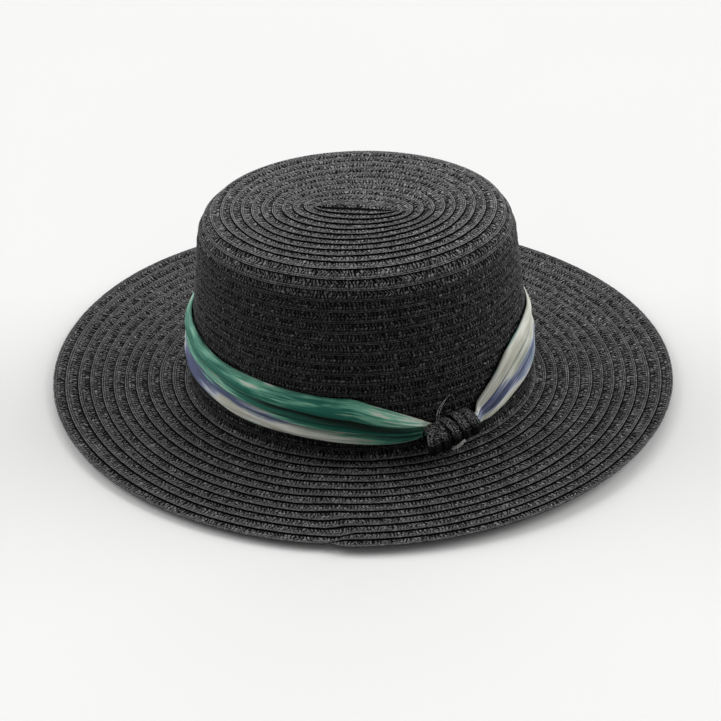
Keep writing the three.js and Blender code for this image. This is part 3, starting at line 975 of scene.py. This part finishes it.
class HAT_OT_band(bpy.types.Operator):
    """Gather the cloth band into long folds that run into the knot"""

    bl_idname = "sunhat.band"
    bl_label = "Cloth band"

    def execute(self, context):
        settings = context.scene.sunhat_band
        turns = np.linspace(0, 360, BAND_STATIONS)
        crowd = 18 * np.sin(np.radians(turns))
        turns = turns - crowd
        wander = [np.sin(np.radians(turns * pace) + pace) for pace in (5, 7, 8)]
        lines = np.vstack([0 * turns, course(FOLD_LINES, turns) + 0.022 * np.array(wander), 1 + 0 * turns])
        swells = course(FOLD_SWELL, turns)
        shares, lifts, crosses = [], [], []
        for fold in range(FOLDS):
            low, high = lines[fold], lines[fold + 1]
            for step in np.linspace(0, 1, FOLD_STEPS + 1)[:-1]:
                # Each fold is a soft roll that hangs a little over the one below it.
                shares.append(low + (high - low) * (step - 0.13 * math.sin(math.pi * step)))
                lifts.append(swells[fold] * math.sin(math.pi * step) ** 0.75)
                crosses.append(fold + step)
        shares.append(1 + 0 * turns)
        lifts.append(0 * turns)
        crosses.append(FOLDS)
        share, lift = np.array(shares).T, np.array(lifts).T
        cross = np.array(crosses) + 0 * share
        turn = turns[:, None] + 0 * share
        # Small creases ride on the folds and fade at the edges.
        crease = np.sin(0.11 * turn + 9 * cross) + 0.7 * np.sin(-0.17 * turn + 15 * cross + 2)
        crease = crease + 0.5 * np.sin(0.31 * turn + 21 * cross + 1)
        lift = lift + 0.2 * crease * np.minimum(1, lift / 1.5)
        bunch = 1 - np.where(turn < 180, ease(5.4, 10.2, turn), ease(7.2, 11, 360 - turn))[..., None]
        points = draped_band(turn, share, lift) * (1 - bunch) + bundled_band(turn, share, lift) * bunch
        points[-1] = points[0]
        middle = points[:, points.shape[1] // 2]
        runs = np.linalg.norm(np.diff(middle, axis=0), axis=1)
        length = np.concatenate([[0], np.cumsum(runs)])[:, None] + 0 * turn
        flat = np.stack([length, cross * FOLD_CLOTH], axis=-1)
        # The grid's across and along are swapped against the straw's, so it is turned about.
        piece = shape_grid("cloth_band", points[::-1], flat[::-1])
        # Painted shade: the cloth is darkened where it sinks between its folds and in the deep creases.
        crease_shade_and_dye = np.clip(1 - lift / (0.75 * swells.max(axis=0)[:, None]), 0, 1)
        crease_shade_and_dye = np.clip(0.6 * crease_shade_and_dye + spots_at(CREASE_SHADE_SPOTS, turn, cross), 0, 1)
        dyes_and_shade = [spots_at(TEAL_SPOTS, turn, cross), spots_at(INDIGO_SPOTS, turn, cross), crease_shade_and_dye]
        colours = np.stack(dyes_and_shade + [np.ones(turn.shape)], axis=-1)[::-1]
        layer = piece.data.attributes.new("dye", "FLOAT_COLOR", "POINT")
        layer.data.foreach_set("color", colours.astype(np.float32).ravel())
        weld = piece.modifiers.new("joined", "WELD")
        weld.merge_threshold = 1e-6
        wall = piece.modifiers.new("cloth", "SOLIDIFY")
        wall.thickness, wall.offset = settings.wall, -1
        dress(piece, tie_dyed_cloth(settings), "band_cloth", "band")
        return {"FINISHED"}


class HAT_OT_knot(bpy.types.Operator):
    """Wind the knot from the same braid and leave its loose strands"""

    bl_idname = "sunhat.knot"
    bl_label = "Straw knot"

    def execute(self, context):
        straw, settings = context.scene.sunhat_straw, context.scene.sunhat_knot
        rng = np.random.default_rng(7)
        centre, axis, outward, _ = knot_frame()
        up = np.array([0, 0, 1.0])
        stroke = straw.stroke / MM
        count = int(settings.turns * 2 * math.pi * WOUND_RADIUS / (stroke / 4))
        wound = np.linspace(0, settings.turns, count)[:, None]
        across, face, sewn, strength = np.array(KNOT_SECTION, float).T
        slant = 0.9 * np.abs(np.mod(2 * across, 1) - 0.5) * 2
        # The barrel rises a little to its thinner end.
        rising = axis + 0.22 * up
        start = -KNOT_LENGTH / 2 - 9.8
        end = KNOT_LENGTH / 2 + 0.1
        run = end - start - WOUND_WIDTH
        # The first turn is wider and laid square to the cloth, and the others lie aslant.
        first = 1 - ease(0.6, 1.6, wound)
        wider = WOUND_WIDTH + 3.1 * first * ease(0.1, 0.4, wound)
        place = start + run * wound / settings.turns + wider * across
        widening = KNOT_RADIUS_RIGHT - KNOT_RADIUS_LEFT + 0.3
        radius = KNOT_RADIUS_LEFT + 0.8 + widening * (place - start) / (end - start)
        waver = 0.3 * np.sin(2 * math.pi * wound * 0.37 + 1) + 0.2 * np.sin(2 * math.pi * wound * 1.3)
        # Each turn leans on the one before it, so its left edge stands up.
        shingle = 0.7 - 1.4 * across
        crown = -1.2 * (2 * across - 1) ** 2 - 2.2 * first * (1 - across) ** 2
        length = wound * 2 * math.pi * WOUND_RADIUS
        ripple = np.cos(2 * math.pi * (length + slant) / stroke)
        uneven = 0.8 + 0.4 * rng.random((count // 4 + 2, len(across))).repeat(4, axis=0)[:count]
        lift = face * 0.45 + sewn + crown + shingle + strength * 0.1 * ripple * uneven + waver - 0.2
        tuck = 1.2 * (1 - ease(0, 0.25, wound) * ease(0, 0.3, settings.turns - wound))
        out = radius + lift - tuck
        angle = -2 * math.pi * wound + math.radians(200)
        lean = (1.3 * first - 1.1) * np.sin(angle) - 3.0 * first * np.cos(angle)
        points = centre - 0.6 * up + (place + lean)[..., None] * rising
        points = points + (out * np.cos(angle))[..., None] * outward + (out * np.sin(angle))[..., None] * up
        points[:, -1] = points[:, 0]
        inset = 0.2 + across * 5.6
        flat = np.stack([1.5 * (length + slant), inset + 0 * length], axis=-1)
        barrel = shape_grid("wound_knot", points, flat, closed=True, capped=True)
        cut = loose_fibre()
        for name, strands, path in LOOSE_STRANDS:
            path = np.array(path, float)
            runs = np.concatenate([[0], np.cumsum(np.linalg.norm(np.diff(path, axis=0), axis=1))])
            reach = np.linspace(0, runs[-1], 25)
            spine = course(np.column_stack([runs, path]), reach).T
            thick = strands * settings.strand / MM
            taper = thick / 2 * (0.35 + 0.65 * np.sin(math.pi * np.linspace(0.2, 0.85, 25)))
            ring = np.linspace(0, 2 * math.pi, 9)
            side = np.cos(ring)[None, :, None] * np.array([0.0, 1.0, 0.0]) * 0.8
            side = side + np.sin(ring)[None, :, None] * np.array([-0.4, 0.0, 0.9])
            shape = spine[:, None] + taper[:, None, None] * side
            shape[:, -1] = shape[:, 0]
            points = centre + shape[..., :1] * axis + shape[..., 1:2] * outward + shape[..., 2:] * up
            flat = np.stack(np.broadcast_arrays(reach[:, None], ring[None]), axis=-1)
            dress(shape_grid(name, points, flat, closed=True, capped=True), cut, "knot_straw", "knot")
        # Painted light: the knot's top is painted far lighter than its sides, and its strong grain flecks are
        # partly the paper's grain, partly painted glints.
        shiny = braided_straw(
            straw, "glossy_paper_straw", gloss=0.06, painted_light_range=(0.04, 1.7), grain=3.8, fine=(0.75, 1.2, 1)
        )
        dress(barrel, shiny, "knot_straw", "knot")
        return {"FINISHED"}


class HAT_OT_stage(bpy.types.Operator):
    """Lay the pale floor, set the soft lights and place the camera"""

    bl_idname = "sunhat.stage"
    bl_label = "Studio"

    def execute(self, context):
        scene = context.scene
        settings = scene.sunhat_stage
        work = bmesh.new()
        bmesh.ops.create_circle(work, cap_ends=True, segments=96, radius=settings.floor)
        mesh = bpy.data.meshes.new("studio_floor")
        work.to_mesh(mesh)
        work.free()
        floor = bpy.data.objects.new("studio_floor", mesh)
        scene.collection.objects.link(floor)
        mesh.materials.append(pale_floor())

        world = bpy.data.worlds.new("studio_room")
        world.use_nodes = True
        scene.world = world
        sky = world.node_tree.nodes["Background"]
        sky.inputs["Color"].default_value = linear("#ffffff")
        sky.inputs["Strength"].default_value = settings.sky

        for name, bearing, height, spread, share in LIGHTS:
            data = bpy.data.lights.new(name, "SUN")
            data.angle, data.energy = math.radians(spread), settings.key * share
            lamp = bpy.data.objects.new(name, data)
            lamp.rotation_euler = (math.radians(90 - height), 0, math.radians(180 - bearing))
            scene.collection.objects.link(lamp)

        ahead = Vector((0, math.cos(CAMERA_HEIGHT), -math.sin(CAMERA_HEIGHT)))
        lens = bpy.data.cameras.new("portrait_lens")
        lens.sensor_width = SENSOR_WIDTH
        lens.lens = FOCAL_LENGTH
        lens.shift_x, lens.shift_y = LENS_SHIFT
        camera = bpy.data.objects.new("camera", lens)
        camera.location = CAMERA_AIM - CAMERA_DISTANCE * ahead
        turned = ahead.to_track_quat("-Z", "Y").to_matrix()
        camera.rotation_euler = (turned @ turned.Rotation(-CAMERA_ROLL, 3, "Z")).to_euler()
        scene.collection.objects.link(camera)
        scene.camera = camera
        scene.view_settings.view_transform = "Standard"
        return {"FINISHED"}


class HAT_PT_panel(bpy.types.Panel):
    """Lists the hat's pieces and their settings"""

    bl_idname = "HAT_PT_panel"
    bl_label = "Sun Hat"
    bl_space_type = "VIEW_3D"
    bl_region_type = "UI"
    bl_category = "Sun Hat"

    def draw(self, context):
        scene = context.scene
        for operator, group in STEPS:
            box = self.layout.box()
            box.operator(operator.bl_idname)
            settings = getattr(scene, group)
            for name in settings.bl_rna.properties.keys():
                if name not in ("rna_type", "name"):
                    box.prop(settings, name)


GROUPS = (
    ("sunhat_straw", StrawSettings),
    ("sunhat_band", BandSettings),
    ("sunhat_knot", KnotSettings),
    ("sunhat_stage", StageSettings),
)
STEPS = (
    (HAT_OT_crown, "sunhat_straw"),
    (HAT_OT_brim, "sunhat_straw"),
    (HAT_OT_band, "sunhat_band"),
    (HAT_OT_knot, "sunhat_knot"),
    (HAT_OT_stage, "sunhat_stage"),
)


def register():
    for name, group in GROUPS:
        bpy.utils.register_class(group)
        setattr(bpy.types.Scene, name, bpy.props.PointerProperty(type=group))
    for operator, _ in STEPS:
        bpy.utils.register_class(operator)
    bpy.utils.register_class(HAT_PT_panel)


def unregister():
    bpy.utils.unregister_class(HAT_PT_panel)
    for operator, _ in reversed(STEPS):
        bpy.utils.unregister_class(operator)
    for name, group in reversed(GROUPS):
        delattr(bpy.types.Scene, name)
        bpy.utils.unregister_class(group)


def main():
    register()
    bpy.ops.sunhat.crown()
    bpy.ops.sunhat.brim()
    bpy.ops.sunhat.band()
    bpy.ops.sunhat.knot()
    bpy.ops.sunhat.stage()


if __name__ == "__main__":
    main()
